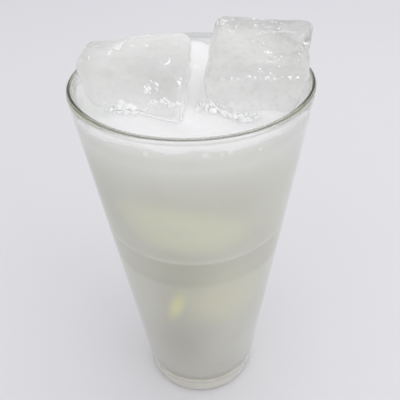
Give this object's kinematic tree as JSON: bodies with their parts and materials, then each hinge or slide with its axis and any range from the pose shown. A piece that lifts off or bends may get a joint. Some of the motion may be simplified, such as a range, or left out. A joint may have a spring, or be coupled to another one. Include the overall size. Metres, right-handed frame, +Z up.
{
  "type": "glass of lassi",
  "caption": "Tall tapered clear drinking glass with a stacking ring in its wall, filled with a pale cloudy yogurt drink and topped with melting ice blocks in white foam.",
  "frame": {"origin": "centre of the glass's foot, on the surface it stands on", "axes": "+Z up along the axis of the glass; -Y towards the side the picture shows; +X to the right of that side"},
  "size_m": [0.0838, 0.0838, 0.1743],
  "materials": {
    "clear_glass": "smooth clear glass with a faint green edge",
    "lassi": "thin cloudy off-white drink under white foam",
    "ice": "wet, half cloudy melting ice",
    "lemon": "wet pale yellow fruit flesh and peel",
    "foam": "wet white foam with bubbles"
  },
  "bodies": {
    "root": {"glass": "clear_glass", "lassi": "lassi", "ice_left": "ice", "ice_right": "ice"}
  },
  "joints": []
}
